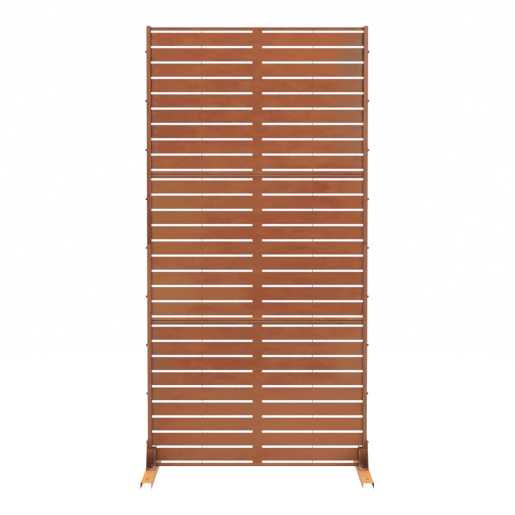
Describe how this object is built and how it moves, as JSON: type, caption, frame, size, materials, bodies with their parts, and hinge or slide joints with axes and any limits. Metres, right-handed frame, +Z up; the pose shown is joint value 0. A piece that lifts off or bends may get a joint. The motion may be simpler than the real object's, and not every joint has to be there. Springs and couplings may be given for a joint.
{
  "type": "garden privacy screen",
  "caption": "Free-standing outdoor privacy screen: slatted sheet-metal infill panels stacked between folded channel posts, bolted to flat channel feet with gusset brackets.",
  "frame": {"origin": "on the ground, midway between the feet, on the centre line of the posts", "axes": "+Z up, +X along the width to the right as seen from the front, -Y towards the front"},
  "size_m": [0.918, 0.56, 1.831],
  "materials": {
    "panel_coat": "weathered rust-brown powder coat, satin",
    "post_coat": "rust-brown powder coat, satin",
    "base_coat": "rust-brown powder coat, satin",
    "fastener_coat": "brown coated steel"
  },
  "bodies": {
    "root": {"top_panel": "panel_coat", "middle_panel": "panel_coat", "bottom_panel": "panel_coat", "left_upper_post": "post_coat", "left_lower_post": "post_coat", "left_post_joiner": "post_coat", "left_foot": "base_coat", "left_side_plate": "base_coat", "left_front_gusset": "base_coat", "left_rear_gusset": "base_coat", "right_upper_post": "post_coat", "right_lower_post": "post_coat", "right_post_joiner": "post_coat", "right_foot": "base_coat", "right_side_plate": "base_coat", "right_front_gusset": "base_coat", "right_rear_gusset": "base_coat", "panel_screws": "fastener_coat", "panel_screw_washers": "fastener_coat", "panel_screw_nuts": "fastener_coat", "base_bolts": "fastener_coat", "base_bolt_washers": "fastener_coat", "base_bolt_nuts": "fastener_coat"}
  },
  "joints": []
}
